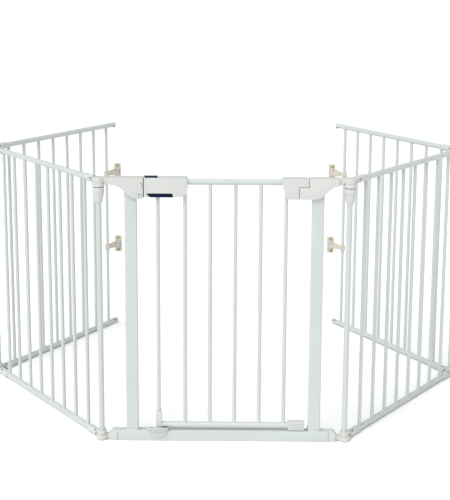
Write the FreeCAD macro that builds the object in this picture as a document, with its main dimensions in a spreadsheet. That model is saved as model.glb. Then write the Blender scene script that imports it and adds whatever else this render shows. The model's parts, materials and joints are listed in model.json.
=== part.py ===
"""Five-panel pet gate: a walk-through door unit with two hinged bar panels on each side.

Frame: origin at the centre of the threshold beam's underside, +X along the beam towards
the door's hinge, +Y towards the fenced space and the wall, +Z up. Millimetres.
"""
import FreeCAD, Part
import Sketcher
import math
import os
import re

Vector = FreeCAD.Vector
doc = FreeCAD.newDocument("pet_gate")

# ---------------------------------------------------------------- driving dimensions
DIMENSIONS = {
    # cutters
    "past": 1.0,                 # how far a cutter runs past the face it opens
    "through_length": 80.0,      # a cutter that passes any one piece
    # plan
    "post_half_span": 332.5,     # gate centre to each front hinge post
    "front_turn": 51.5,          # degrees from the gate line out to a front panel
    "rear_turn": 72.0,           # degrees from a front panel's line in to its rear panel
    "bar_pitch": 67.3,
    "short_end": 71.0,           # hinge axis to the nearest bar, short connector
    "long_end": 78.0,            # hinge axis to the nearest bar, long connector
    "wall_y": 992.0,             # wall face that the mounting plates meet
    # tubes
    "rail_radius": 8.0,
    "rail_wall": 1.2,
    "rail_overhang": 45.0,       # tube past its last bar
    "rail_low_z": 10.5,
    "rail_high_z": 725.5,
    "bar_radius": 5.0,
    "bar_wall": 1.0,
    "snap_hole_radius": 2.4,
    "top_snap_hole_inset": 9.0,
    "bottom_snap_hole_inset": 18.0,
    "post_radius": 7.5,
    "post_low_z": 3.0,
    "post_high_z": 731.0,
    "beam_half_length": 288.0,
    "beam_height": 29.0,
    "beam_depth": 25.0,
    "frame_wall": 1.5,
    "upright_width": 33.0,
    "upright_depth": 16.0,
    "upright_high_z": 728.0,
    "left_upright_x": -264.0,    # each upright's low-X face
    "right_upright_x": 232.0,
    # hinge knuckles
    "running_gap": 0.05,         # radial clearance of every turning or sliding fit
    "loose_gap": 0.3,            # clearance of a moving piece in its window
    "knuckle_radius": 16.5,
    "host_ring_low_z": 721.2,
    "host_ring_high_z": 733.5,
    "host_neck_high_z": 731.5,
    "hung_ring_low_z": 709.0,
    "hung_ring_high_z": 720.8,
    "hung_neck_low_z": 710.0,
    "cup_height": 14.0,
    "cup_floor": 3.0,
    "cup_round": 3.5,
    "cup_neck_low_z": 2.5,
    "cup_neck_high_z": 13.5,
    "foot_ring_radius": 12.5,
    "foot_ring_low_z": 14.4,
    "foot_ring_high_z": 26.4,
    "foot_neck_high_z": 19.9,
    "sleeve_radius": 10.3,
    "sleeve_start": 20.0,        # from the hinge axis
    "sleeve_bar_gap": 10.0,      # sleeve end to the nearest bar's axis
    "neck_start": 6.0,
    "neck_width": 13.0,
    "neck_lap": 4.0,             # how far the neck runs into its sleeve
    # locking collars: radii up the thimble, with their heights above its low end
    "collar_low_z": 665.0,
    "collar_high_z": 707.2,
    "collar_neck_radius": 9.6,
    "collar_foot_radius": 11.4,
    "collar_foot_height": 6.0,
    "collar_waist_radius": 13.2,
    "collar_waist_height": 15.0,
    "collar_shoulder_radius": 14.8,
    "collar_shoulder_height": 28.0,
    "collar_radius": 15.6,
    "collar_lip": 3.0,
    "collar_mouth_depth": 5.0,
    # housings on the frame; distances from the middle are the same on both sides
    "housing_depth": 34.0,
    "housing_top_z": 734.0,
    "housing_low_z": 679.0,
    "housing_shoulder_x": 286.0,
    "latch_face_x": -213.4,
    "latch_foot_x": 243.5,
    "hinge_foot_x": 252.0,
    "foot_round": 30.0,
    "arm_low_z": 716.0,
    "arm_depth": 18.0,
    "arm_sweep": 50.0,
    "arm_end_x": 314.5,
    "waist_x": 302.5,            # the arm is thinner from here out
    "bridge_start_x": 314.0,
    "bridge_end_x": 326.5,
    "bolt_slot_low_z": 699.5,
    "bolt_slot_high_z": 721.0,   # tall enough for the door's lift
    "bolt_slot_x": -225.0,
    "bolt_slot_front": 8.0,
    "cap_inset": 0.5,
    "cap_straight": 13.0,
    "cap_waist": 19.0,
    "cap_length": 28.0,
    "striker_x": -177.8,
    "striker_half_width": 28.6,
    "striker_high_z": 38.5,
    "striker_low_z": 12.5,
    "striker_thickness": 4.0,
    # door
    "door_axis_x": 211.0,
    "door_rail_high_z": 722.0,
    "door_rail_low_z": 43.0,
    "door_rail_start": -190.0,
    "door_rail_end": 190.0,
    "door_low_rail_start": -175.5,
    "door_low_rail_end": 195.0,
    "door_last_bar_x": 164.5,
    "door_bar_pitch": 67.0,
    "door_latch_bar_x": -175.5,
    "handle_left_x": -211.0,
    "handle_right_x": -97.0,
    "handle_low_z": 683.5,
    "handle_wall": 3.0,
    "handle_end_round": 18.0,
    "handle_top_round": 6.0,
    "small_round": 3.0,
    "cover_left_x": 152.5,
    "cover_foot_x": 164.5,
    "cover_foot_round": 10.0,
    "cover_shoulder_z": 718.0,
    "cover_seam_x": 197.2,
    "cover_tongue_x": 222.5,
    "cover_step_z": 712.2,
    "cover_back": 12.0,          # shallow enough behind the axis to turn past the housing
    "seam": 1.4,
    "lug_radius": 13.0,
    "upper_pin_radius": 5.0,
    "upper_pin_low_z": 685.0,
    "upper_pin_high_z": 729.0,
    "lower_pin_radius": 4.0,
    "lower_pin_high_z": 47.0,
    "bracket_thickness": 1.5,
    "bracket_half_length": 9.0,
    "bracket_half_width": 7.0,
    "bracket_flange_height": 9.0,
    "block_left_x": 177.0,
    "block_right_x": 222.0,
    "block_low_z": 31.0,
    "block_high_z": 54.0,
    "block_depth": 18.0,
    "block_end_x": 209.0,
    "block_end_radius": 13.0,
    "foot_width": 15.4,
    "foot_depth": 17.4,
    "foot_low_z": 33.0,
    "foot_shoulder_z": 72.0,
    "foot_high_z": 82.5,
    "foot_neck_width": 11.6,
    # latch works
    "lever_left_x": -204.5,
    "lever_right_x": -137.5,
    "lever_low_z": 682.2,
    "lever_high_z": 692.3,
    "lever_left_slant": 10.0,    # both ends lean towards the hinge on the way down
    "lever_right_slant": 3.0,
    "lever_depth": 27.6,
    "lever_clearance": 1.2,
    "bolt_tip_x": -221.5,
    "bolt_tail_x": -190.5,
    "bolt_width": 10.0,
    "bolt_low_z": 700.5,
    "bolt_high_z": 709.5,
    "bolt_nose": 4.0,
    "slide_left_x": -210.5,
    "slide_right_x": -176.5,
    "slide_width": 16.0,
    "slide_height": 3.0,
    "slide_gap": 0.25,
    "slide_stem_x": -205.5,
    "slide_stem_length": 15.0,
    "slide_stem_width": 6.0,
    "slide_travel": 8.0,
    "groove_start_x": -204.5,
    "groove_pitch": 5.0,
    "groove_width": 2.0,
    "groove_depth": 0.8,
    "spring_x": -150.0,
    "spring_radius": 4.0,
    "spring_wire_radius": 0.6,
    "spring_pitch": 3.5,
    "spring_low_z": 693.2,
    "spring_high_z": 713.2,
    # wall mounts
    "mount_high_z": 555.0,
    "mount_low_z": 291.0,
    "mount_reach": 51.0,         # bar axis to the plate's pivot
    "mount_setback": 16.0,       # plate's pivot to the wall
    "clip_radius": 9.0,
    "clip_height": 17.0,
    "arm_height": 11.0,
    "arm_thickness": 9.0,
    "arm_flare_x": 40.0,         # the arm's web is tallest here, below the plate's ears
    "arm_flare_low": 8.0,
    "arm_flare_high": 14.0,
    "eye_radius": 6.5,
    "mount_pin_radius": 2.5,
    "plate_width": 23.0,
    "plate_height": 58.0,
    "plate_thickness": 6.0,
    "plate_round": 4.0,
    "ear_height": 4.0,
    "ear_gap": 0.4,
    "screw_spacing": 46.0,
    "screw_shank_radius": 2.3,   # through the plate
    "screw_radius": 2.0,         # in the wall
    "screw_head_radius": 4.0,
    "screw_head_height": 2.2,
    "screw_reach": 24.0,         # point of the screw beyond the wall face
    "screw_point": 4.0,
}
BARS = 8                         # bars in each side panel
DOOR_BARS = 5                    # evenly spaced door bars, besides the one at the latch
GROOVES = 5                      # grip grooves across the thumb slide

sheet = doc.addObject("Spreadsheet::Sheet", "dims")
for row, (alias, value) in enumerate(DIMENSIONS.items(), start=1):
    sheet.set(f"A{row}", alias)
    sheet.set(f"B{row}", str(value))
    sheet.setAlias(f"B{row}", alias)
doc.recompute()

NODES = {}


# ---------------------------------------------------------------- helpers
def formula(text):
    """Put the sheet's name before each dimension in an expression."""
    def prefixed(match):
        word = match.group(0)
        return f"dims.{word}" if word in DIMENSIONS else word

    return re.sub(r"[a-z][a-z_]+", prefixed, str(text))


def number(text):
    """An expression's value, from the sheet."""
    return float(sheet.evalExpression(formula(text)))


def bind(obj, **sizes):
    for name, text in sizes.items():
        obj.setExpression(name, formula(text))
    return obj


TURNS = {
    "Z": FreeCAD.Rotation(),
    "X": FreeCAD.Rotation(Vector(0, 1, 0), 90),
    "Y": FreeCAD.Rotation(Vector(1, 0, 0), -90),
}


def place(obj, at, along="Z"):
    """Put an object's own origin at three expressions, its Z axis along X, Y or Z."""
    obj.Placement = FreeCAD.Placement(Vector(), TURNS[along])
    for letter, text in zip("xyz", at):
        obj.setExpression(f"Placement.Base.{letter}", formula(text))
    return obj


def cylinder(radius, height, at=("0", "0", "0"), along="Z"):
    obj = bind(doc.addObject("Part::Cylinder", "cylinder"), Radius=radius, Height=height)
    return place(obj, at, along)


def bore(radius, x, z):
    """A vertical cutter through any one piece, centred on the given height."""
    return cylinder(radius, "through_length", (x, "0", f"{z} - through_length / 2"))


def block(low, high):
    """A box between two corners, each given as three expressions."""
    obj = doc.addObject("Part::Box", "block")
    spans = [f"({b}) - ({a})" for a, b in zip(low, high)]
    return place(bind(obj, Length=spans[0], Width=spans[1], Height=spans[2]), low)


def side_x(side, distance):
    """A distance from the gate's middle, as an X on the left or right."""
    return f"-({distance})" if side == "left" else distance


def side_block(side, span, low, high):
    """A block between two distances from the middle, low and high being its (Y, Z) corners."""
    near, far = (side_x(side, distance) for distance in span)
    if side == "left":
        near, far = far, near
    return block((near, *low), (far, *high))


def cut(base, *tools):
    for tool in tools:
        obj = doc.addObject("Part::Cut", "cut")
        obj.Base = base
        obj.Tool = tool
        base = obj
    return base


def fuse(*pieces):
    obj = doc.addObject("Part::MultiFuse", "fuse")
    obj.Shapes = list(pieces)
    obj.Refine = True
    return obj


def common(base, tool):
    obj = doc.addObject("Part::Common", "common")
    obj.Base = base
    obj.Tool = tool
    return obj


def group(*pieces):
    obj = doc.addObject("Part::Compound", "group")
    obj.Links = list(pieces)
    return obj


def node(name, obj):
    """Name a finished sub-part. Its label names its file."""
    obj.Label = name
    NODES[name] = obj
    return obj


def tube(radius, wall, length, at, along="Z"):
    return cut(cylinder(radius, length, at, along), cylinder(f"{radius} - {wall}", length, at, along))


def outline(body, corners):
    """A closed sketch on the body's XZ plane, each corner held by two bound distances."""
    plane = next(o for o in body.Origin.OriginFeatures if o.Role == "XZ_Plane")
    sketch = body.newObject("Sketcher::SketchObject", "outline")
    sketch.AttachmentSupport = (plane, [""])
    sketch.MapMode = "FlatFace"
    points = [Vector(number(x), number(z), 0) for x, z in corners]
    for i, point in enumerate(points):
        sketch.addGeometry(Part.LineSegment(point, points[(i + 1) % len(points)]), False)
    for i, (x, z) in enumerate(corners):
        sketch.addConstraint(Sketcher.Constraint("Coincident", i, 1, (i - 1) % len(points), 2))
        for kind, text, value in (("DistanceX", x, points[i].x), ("DistanceY", z, points[i].y)):
            index = sketch.addConstraint(Sketcher.Constraint(kind, -1, 1, i, 1, value))
            sketch.setExpression(f"Constraints[{index}]", formula(text))
    return sketch


def round_edges(body, radius, corners):
    """Fillet the straight edges that stand on the given outline corners."""
    doc.recompute()
    base = body.Tip
    names = []
    for i, edge in enumerate(base.Shape.Edges, start=1):
        ends = [v.Point for v in edge.Vertexes]
        if len(ends) != 2:
            continue
        for x, z in corners:
            if all(math.hypot(p.x - number(x), p.z - number(z)) < 1e-4 for p in ends):
                names.append(f"Edge{i}")
    fillet = body.newObject("PartDesign::Fillet", "round")
    fillet.Base = (base, names)
    bind(fillet, Radius=radius)
    body.Tip = fillet


def prism(corners, depth, rounds=()):
    """An outline in XZ padded evenly to both sides of Y = 0, with rounded corners.

    rounds holds (radius, [corner numbers]) pairs.
    """
    body = doc.addObject("PartDesign::Body", "prism")
    sketch = outline(body, corners)
    pad = body.newObject("PartDesign::Pad", "pad")
    pad.Profile = sketch
    pad.Midplane = True
    bind(pad, Length=depth)
    body.Tip = pad
    for radius, numbers in rounds:
        round_edges(body, radius, [corners[i] for i in numbers])
    return body


def turned(corners):
    """A half profile of (radius, height) corners turned about Z."""
    body = doc.addObject("PartDesign::Body", "turned")
    sketch = outline(body, corners)
    revolution = body.newObject("PartDesign::Revolution", "turn")
    revolution.Profile = sketch
    revolution.ReferenceAxis = (sketch, ["V_Axis"])
    revolution.Angle = 360
    body.Tip = revolution
    return body


def moved(obj, x, y, degrees=0.0):
    """Place a finished sub-part that was built about its own hinge axis."""
    obj.Placement = FreeCAD.Placement(Vector(x, y, 0), FreeCAD.Rotation(Vector(0, 0, 1), degrees))
    return obj


# ---------------------------------------------------------------- gate frame
def build_frame():
    """Threshold beam, two uprights standing on it and the two front hinge posts."""
    half = "beam_half_length"
    deep = "beam_depth / 2"
    outer = block((f"-{half}", f"-{deep}", "0"), (half, deep, "beam_height"))
    inner = block((f"-{half}", f"frame_wall - {deep}", "frame_wall"),
                  (half, f"{deep} - frame_wall", "beam_height - frame_wall"))
    node("threshold_beam", cut(outer, inner))
    for side in ("left", "right"):
        node(f"{side}_upright", cut(upright_envelope(side), upright_envelope(side, "frame_wall")))
        moved(node(f"front_{side}_post", hinge_post()), number(side_x(side, "post_half_span")), 0)


def upright_envelope(side, inset="0"):
    """The upright's outside, or its inside when inset by the wall."""
    face = f"{side}_upright_x"
    return block((f"{face} + {inset}", f"{inset} - upright_depth / 2", "beam_height"),
                 (f"{face} + upright_width - {inset}", f"upright_depth / 2 - {inset}", "upright_high_z"))


def hinge_post():
    return tube("post_radius", "frame_wall", "post_high_z - post_low_z", ("0", "0", "post_low_z"))


def build_housing(side, seam_corners):
    """Swept plastic housing on one upright, with its arm and the upper knuckle ring."""
    foot = "latch_foot_x" if side == "left" else "hinge_foot_x"
    corners = seam_corners + [
        (side_x(side, foot), "housing_low_z"),
        (side_x(side, f"{foot} + arm_low_z - housing_low_z"), "arm_low_z"),
        (side_x(side, "arm_end_x"), "arm_low_z"),
        (side_x(side, "arm_end_x"), "host_ring_high_z"),
    ]
    count = len(seam_corners)
    body = prism(corners, "housing_depth", [("arm_sweep", [count + 1]), ("foot_round", [count])])
    waist = ("waist_x", "post_half_span")
    front = side_block(side, waist, ("-housing_depth", "arm_low_z - past"),
                       ("-arm_depth / 2", "housing_top_z + past"))
    back = side_block(side, waist, ("arm_depth / 2", "arm_low_z - past"),
                      ("housing_depth", "housing_top_z + past"))
    axis = (side_x(side, "post_half_span"), "0", "host_ring_low_z")
    ring = cylinder("knuckle_radius", "host_ring_high_z - host_ring_low_z", axis)
    bridge = side_block(side, ("bridge_start_x", "bridge_end_x"), ("-arm_depth / 2", "host_ring_low_z"),
                        ("arm_depth / 2", "host_ring_high_z"))
    seat = cylinder("post_radius", "post_high_z - host_ring_low_z", axis)
    return cut(fuse(cut(body, front, back), ring, bridge), seat, upright_envelope(side))


def build_latch_housing():
    seam = [("-housing_shoulder_x", "housing_top_z"),
            ("latch_face_x", "housing_top_z"),
            ("latch_face_x", "housing_low_z")]
    slot = block(("bolt_slot_x", "-bolt_slot_front", "bolt_slot_low_z"),
                 ("latch_face_x + past", "housing_depth", "bolt_slot_high_z"))
    node("latch_housing", cut(build_housing("left", seam), slot))


def build_hinge_housing():
    seam = [("housing_shoulder_x", "housing_top_z"),
            ("cover_tongue_x + seam", "housing_top_z"),
            ("cover_tongue_x + seam", "cover_step_z - seam"),
            ("cover_seam_x + seam", "cover_step_z - seam"),
            ("cover_seam_x + seam", "housing_low_z")]
    # room round the lug for the back of the door's cover to turn through
    room = block(("cover_seam_x", "0", "housing_low_z - past"),
                 ("cover_tongue_x + seam", "housing_depth", "cover_step_z"))
    lug = bore("lug_radius", "door_axis_x", "housing_top_z")
    pin_bore = cylinder("upper_pin_radius + running_gap", "through_length",
                        ("door_axis_x", "0", "upper_pin_low_z"))
    node("hinge_housing", cut(build_housing("right", seam), cut(room, lug), pin_bore))


def build_beam_caps():
    """Plastic caps that close the beam and carry the cups under the front posts."""
    straight = "beam_half_length + cap_straight"
    end = "beam_half_length + cap_length"
    for side in ("left", "right"):
        corners = [(side_x(side, "beam_half_length"), "cap_inset"),
                   (side_x(side, straight), "cap_inset"),
                   (side_x(side, end), "cup_neck_low_z"),
                   (side_x(side, end), "cup_neck_high_z"),
                   (side_x(side, straight), "beam_height - cap_inset"),
                   (side_x(side, "beam_half_length"), "beam_height - cap_inset")]
        cap = prism(corners, "beam_depth - 2 * cap_inset")
        waist = ("beam_half_length + cap_waist", f"{end} + past")
        front = side_block(side, waist, ("-beam_depth", "-past"), ("-neck_width / 2", "beam_height"))
        back = side_block(side, waist, ("neck_width / 2", "-past"), ("beam_depth", "beam_height"))
        joint = side_block(side, ("bridge_start_x", "bridge_end_x"), ("-neck_width / 2", "cup_neck_low_z"),
                           ("neck_width / 2", "cup_neck_high_z"))
        axis_x = side_x(side, "post_half_span")
        cup = place(cup_body(), (axis_x, "0", "0"))
        seat = cylinder("post_radius", "through_length", (axis_x, "0", "cup_floor"))
        node(f"{side}_beam_cap", cut(fuse(cut(cap, front, back), joint, cup), seat))


def cup_body():
    """The round cup that stands on the floor under a hinge post."""
    return turned([("0", "0"), ("knuckle_radius - cup_round", "0"), ("knuckle_radius", "cup_round"),
                   ("knuckle_radius", "cup_height"), ("0", "cup_height")])


def build_striker():
    """Half-oval stop on the beam's front, with a lip that stands up before the door foot."""
    oval = doc.addObject("Part::Ellipse", "oval")
    bind(oval, MajorRadius="striker_half_width", MinorRadius="striker_high_z - striker_low_z")
    place(oval, ("striker_x", "-beam_depth / 2", "striker_high_z"))
    oval.Placement.Rotation = FreeCAD.Rotation(Vector(1, 0, 0), 90)
    plate = doc.addObject("Part::Extrusion", "striker")
    plate.Base = oval
    plate.Dir = Vector(0, -1, 0)
    bind(plate, LengthFwd="striker_thickness")
    plate.Solid = True
    upper = block(("striker_x - striker_half_width - past", "-beam_depth", "striker_high_z"),
                  ("striker_x + striker_half_width + past", "0", "striker_high_z + beam_height"))
    node("striker_plate", cut(plate, upper))


def build_lower_bracket():
    """Pressed steel bracket on the beam and the upright, with the pin the door stands on."""
    base = block(("door_axis_x - bracket_half_length", "-bracket_half_width", "beam_height"),
                 ("right_upright_x", "bracket_half_width", "beam_height + bracket_thickness"))
    flange = block(("right_upright_x - bracket_thickness", "-bracket_half_width", "beam_height"),
                   ("right_upright_x", "bracket_half_width", "beam_height + bracket_flange_height"))
    pin = cylinder("lower_pin_radius", "lower_pin_high_z - beam_height",
                   ("door_axis_x", "0", "beam_height"))
    node("lower_hinge_bracket", fuse(base, flange, pin))


# ---------------------------------------------------------------- door
def door_bar_places():
    places = [f"door_last_bar_x - {i} * door_bar_pitch" for i in range(DOOR_BARS)]
    return places + ["door_latch_bar_x"]


def door_rail_sizes():
    """Length and start of the top rail, then of the bottom rail."""
    return (("door_rail_end - door_rail_start", ("door_rail_start", "0", "door_rail_high_z")),
            ("door_low_rail_end - door_low_rail_start", ("door_low_rail_start", "0", "door_rail_low_z")))


def door_rail_envelopes():
    return [cylinder("rail_radius", length, start, "X") for length, start in door_rail_sizes()]


def door_bar_envelopes():
    return [cylinder("bar_radius", "door_rail_high_z - door_rail_low_z", (x, "0", "door_rail_low_z"))
            for x in door_bar_places()]


def build_door_frame():
    for name, (length, start) in zip(("door_top_rail", "door_bottom_rail"), door_rail_sizes()):
        node(name, tube("rail_radius", "rail_wall", length, start, "X"))
    bars = []
    for x in door_bar_places():
        bar = tube("bar_radius", "bar_wall", "door_rail_high_z - door_rail_low_z",
                   (x, "0", "door_rail_low_z"))
        bars.append(cut(bar, *door_rail_envelopes()))
    node("door_bars", group(*bars))


def handle_outline(inset):
    return [(f"handle_left_x + {inset}", f"handle_low_z + {inset}"),
            (f"handle_right_x - {inset}", f"handle_low_z + {inset}"),
            (f"handle_right_x - {inset}", f"housing_top_z - {inset}"),
            (f"handle_left_x + {inset}", f"housing_top_z - {inset}")]


def lever_window():
    """The opening under the handle that the squeeze lever moves in."""
    gap = "lever_clearance"
    return prism([(f"lever_left_x - {gap}", f"lever_high_z + {gap}"),
                  (f"lever_right_x + {gap}", f"lever_high_z + {gap}"),
                  (f"lever_right_x + {gap} + lever_right_slant", "handle_low_z - past"),
                  (f"lever_left_x - {gap} + lever_left_slant", "handle_low_z - past")],
                 "housing_depth + past")


def build_handle():
    """Two half shells round the top rail's latch end, open below for the squeeze lever."""
    slide_slot = block(("slide_stem_x - past", "-slide_stem_width / 2 - loose_gap",
                        "housing_top_z - handle_wall - past"),
                       ("slide_stem_x + slide_stem_length + slide_travel + past",
                        "slide_stem_width / 2 + loose_gap", "housing_top_z + past"))
    bolt_hole = block(("handle_left_x - past", "-bolt_width / 2 - loose_gap", "bolt_low_z - loose_gap"),
                      ("handle_left_x + handle_wall + past", "bolt_width / 2 + loose_gap",
                       "bolt_high_z + loose_gap"))
    outer = prism(handle_outline("0"), "housing_depth",
                  [("handle_end_round", [1]), ("handle_top_round", [2]), ("small_round", [0, 3])])
    inner = prism(handle_outline("handle_wall"), "housing_depth - 2 * handle_wall",
                  [("handle_end_round - handle_wall", [1]), ("handle_top_round - handle_wall", [2])])
    box = cut(outer, inner, lever_window(), slide_slot, bolt_hole,
              door_rail_envelopes()[0], *door_bar_envelopes())
    for name, low, high in (("handle_front_shell", "-housing_depth", "0"),
                            ("handle_back_shell", "0", "housing_depth")):
        half = block(("handle_left_x - past", low, "handle_low_z - past"),
                     ("handle_right_x + past", high, "housing_top_z + past"))
        node(name, common(box, half))


def build_hinge_cover():
    """Cover on the rail's hinge end, with the tongue that turns on the upper pin."""
    corners = [("cover_left_x", "housing_top_z"), ("cover_left_x", "cover_shoulder_z"),
               ("cover_foot_x", "housing_low_z"), ("cover_seam_x", "housing_low_z"),
               ("cover_seam_x", "cover_step_z"), ("cover_tongue_x", "cover_step_z"),
               ("cover_tongue_x", "housing_top_z")]
    cover = prism(corners, "housing_depth", [("cover_foot_round", [2]), ("small_round", [0])])
    back = block(("cover_left_x - past", "cover_back", "housing_low_z - past"),
                 ("cover_tongue_x + past", "housing_depth", "housing_top_z + past"))
    corner = block(("door_axis_x", "0", "cover_step_z - past"),
                   ("cover_tongue_x + past", "housing_depth", "housing_top_z + past"))
    round_end = bore("cover_back", "door_axis_x", "housing_top_z")
    pin_bore = cylinder("upper_pin_radius + running_gap", "upper_pin_high_z - housing_low_z + past",
                        ("door_axis_x", "0", "housing_low_z"))
    node("door_hinge_cover", cut(cover, back, cut(corner, round_end), pin_bore,
                                 door_rail_envelopes()[0], *door_bar_envelopes()))


def build_hinge_sleeve():
    """Block on the bottom rail's end that turns on the bracket's pin."""
    sleeve = block(("block_left_x", "-block_depth / 2", "block_low_z"),
                   ("block_right_x", "block_depth / 2", "block_high_z"))
    corner = block(("door_axis_x", "0", "block_low_z - past"),
                   ("block_right_x + past", "block_depth", "block_high_z + past"))
    round_end = bore("block_end_radius", "block_end_x", "block_high_z")
    pin_bore = cylinder("lower_pin_radius + running_gap", "lower_pin_high_z + past",
                        ("door_axis_x", "0", "0"))
    node("door_hinge_sleeve", cut(sleeve, cut(corner, round_end), pin_bore,
                                  door_rail_envelopes()[1], *door_bar_envelopes()))


def build_door_foot():
    """Plastic shoe over the latch bar's foot and the bottom rail's end."""
    half = "foot_width / 2"
    neck = "foot_neck_width / 2"
    corners = [(f"door_latch_bar_x - {half}", "foot_low_z"),
               (f"door_latch_bar_x + {half}", "foot_low_z"),
               (f"door_latch_bar_x + {half}", "foot_shoulder_z"),
               (f"door_latch_bar_x + {neck}", "foot_high_z"),
               (f"door_latch_bar_x - {neck}", "foot_high_z"),
               (f"door_latch_bar_x - {half}", "foot_shoulder_z")]
    shoe = prism(corners, "foot_depth")
    node("door_foot", cut(shoe, *door_rail_envelopes(), *door_bar_envelopes()))


# ---------------------------------------------------------------- latch works
def build_thumb_slide():
    """Grooved slide on top of the handle, with a stem down through the slot."""
    low_z = "housing_top_z + slide_gap"
    high_z = f"{low_z} + slide_height"
    plate = block(("slide_left_x", "-slide_width / 2", low_z), ("slide_right_x", "slide_width / 2", high_z))
    stem = block(("slide_stem_x", "-slide_stem_width / 2", "housing_top_z - handle_wall + loose_gap"),
                 ("slide_stem_x + slide_stem_length", "slide_stem_width / 2", f"{low_z} + past"))
    grooves = []
    for i in range(GROOVES):
        start = f"groove_start_x + {i} * groove_pitch"
        grooves.append(block((start, "-slide_width", f"{high_z} - groove_depth"),
                             (f"{start} + groove_width", "slide_width", f"{high_z} + past")))
    node("thumb_slide", cut(fuse(plate, stem), *grooves))


def build_squeeze_lever():
    lever = prism([("lever_left_x", "lever_high_z"), ("lever_right_x", "lever_high_z"),
                   ("lever_right_x + lever_right_slant", "lever_low_z"),
                   ("lever_left_x + lever_left_slant", "lever_low_z")], "lever_depth")
    node("squeeze_lever", cut(lever, bore("bar_radius + 2 * loose_gap", "door_latch_bar_x", "lever_low_z")))


def build_latch_bolt():
    bolt = block(("bolt_tip_x", "-bolt_width / 2", "bolt_low_z"),
                 ("bolt_tail_x", "bolt_width / 2", "bolt_high_z"))
    nose = prism([("bolt_tip_x - past", "bolt_high_z + past"),
                  ("bolt_tip_x - past", "bolt_high_z - bolt_nose"),
                  ("bolt_tip_x + bolt_nose", "bolt_high_z + past")], "bolt_width + past")
    node("latch_bolt", cut(bolt, nose))


def build_lever_spring():
    coil = doc.addObject("Part::Helix", "coil")
    bind(coil, Radius="spring_radius", Pitch="spring_pitch", Height="spring_high_z - spring_low_z")
    wire = doc.addObject("Part::Circle", "wire")
    bind(wire, Radius="spring_wire_radius")
    wire.Placement = FreeCAD.Placement(Vector(number("spring_radius"), 0, 0),
                                       FreeCAD.Rotation(Vector(1, 0, 0), 90))
    spring = doc.addObject("Part::Sweep", "spring")
    spring.Sections = [wire]
    spring.Spine = (coil, ["Edge1"])
    spring.Solid = True
    spring.Frenet = True
    node("lever_spring", place(spring, ("spring_x", "0", "spring_low_z")))


# ---------------------------------------------------------------- side panels
# A panel is built along +X from its hinge axis at the origin, then turned into place.
def build_panel(name, first_bar, where):
    """Two rails and their bars. first_bar is the distance from the panel's own axis."""
    start = f"{first_bar} - rail_overhang"
    length = f"{BARS - 1} * bar_pitch + 2 * rail_overhang"
    front = -1 if name.endswith("left") else 1
    for level, rail_z, upward in (("top", "rail_high_z", -1), ("bottom", "rail_low_z", 1)):
        rail = tube("rail_radius", "rail_wall", length, (start, "0", rail_z), "X")
        if name.startswith("rear"):
            hole_x = f"{start} + {length} - {level}_snap_hole_inset"
            hole = cylinder("snap_hole_radius", "rail_radius + past", (hole_x, "0", rail_z))
            hole.Placement.Rotation = FreeCAD.Rotation(Vector(0, 0, 1), Vector(0, front, upward))
            rail = cut(rail, hole)
        moved(node(f"{name}_{level}_rail", rail), *where)
    rails = [cylinder("rail_radius", length, (start, "0", z), "X") for z in ("rail_high_z", "rail_low_z")]
    bars = []
    for i in range(BARS):
        bar = tube("bar_radius", "bar_wall", "rail_high_z - rail_low_z",
                   (f"{first_bar} + {i} * bar_pitch", "0", "rail_low_z"))
        bars.append(cut(bar, *rails))
    moved(node(f"{name}_bars", group(*bars)), *where)


def connector(ring, neck_z, end_gap, rail_z, post_bore):
    """A ring or cup on the hinge axis, its neck, and the sleeve over the rail's end."""
    neck = block(("neck_start", "-neck_width / 2", neck_z[0]),
                 ("sleeve_start + neck_lap", "neck_width / 2", neck_z[1]))
    sleeve = cylinder("sleeve_radius", f"{end_gap} - sleeve_bar_gap - sleeve_start",
                      ("sleeve_start", "0", rail_z), "X")
    seat = cylinder("rail_radius", "through_length", (f"{end_gap} - rail_overhang", "0", rail_z), "X")
    return cut(fuse(ring, neck, sleeve), seat, post_bore)


def hung_connectors(end_gap):
    """Connectors that turn on a post: a ring under the host's ring, and one on its cup."""
    turning = "post_radius + running_gap"
    top_ring = cylinder("knuckle_radius", "hung_ring_high_z - hung_ring_low_z",
                        ("0", "0", "hung_ring_low_z"))
    top = connector(top_ring, ("hung_neck_low_z", "hung_ring_high_z"), end_gap, "rail_high_z",
                    bore(turning, "0", "rail_high_z"))
    foot_ring = cylinder("foot_ring_radius", "foot_ring_high_z - foot_ring_low_z",
                         ("0", "0", "foot_ring_low_z"))
    foot = connector(foot_ring, ("foot_ring_low_z", "foot_neck_high_z"), end_gap, "rail_low_z",
                     bore(turning, "0", "rail_low_z"))
    return group(top, foot)


def host_connectors(end_gap):
    """Connectors that hold a corner post: a capped ring on top and a cup on the floor."""
    ring = cylinder("knuckle_radius", "host_ring_high_z - host_ring_low_z", ("0", "0", "host_ring_low_z"))
    ring_seat = cylinder("post_radius", "post_high_z - host_ring_low_z", ("0", "0", "host_ring_low_z"))
    top = connector(ring, ("host_ring_low_z", "host_neck_high_z"), end_gap, "rail_high_z", ring_seat)
    cup_seat = cylinder("post_radius", "through_length", ("0", "0", "cup_floor"))
    cup = connector(cup_body(), ("cup_neck_low_z", "cup_neck_high_z"), end_gap, "rail_low_z", cup_seat)
    return group(top, cup)


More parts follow.
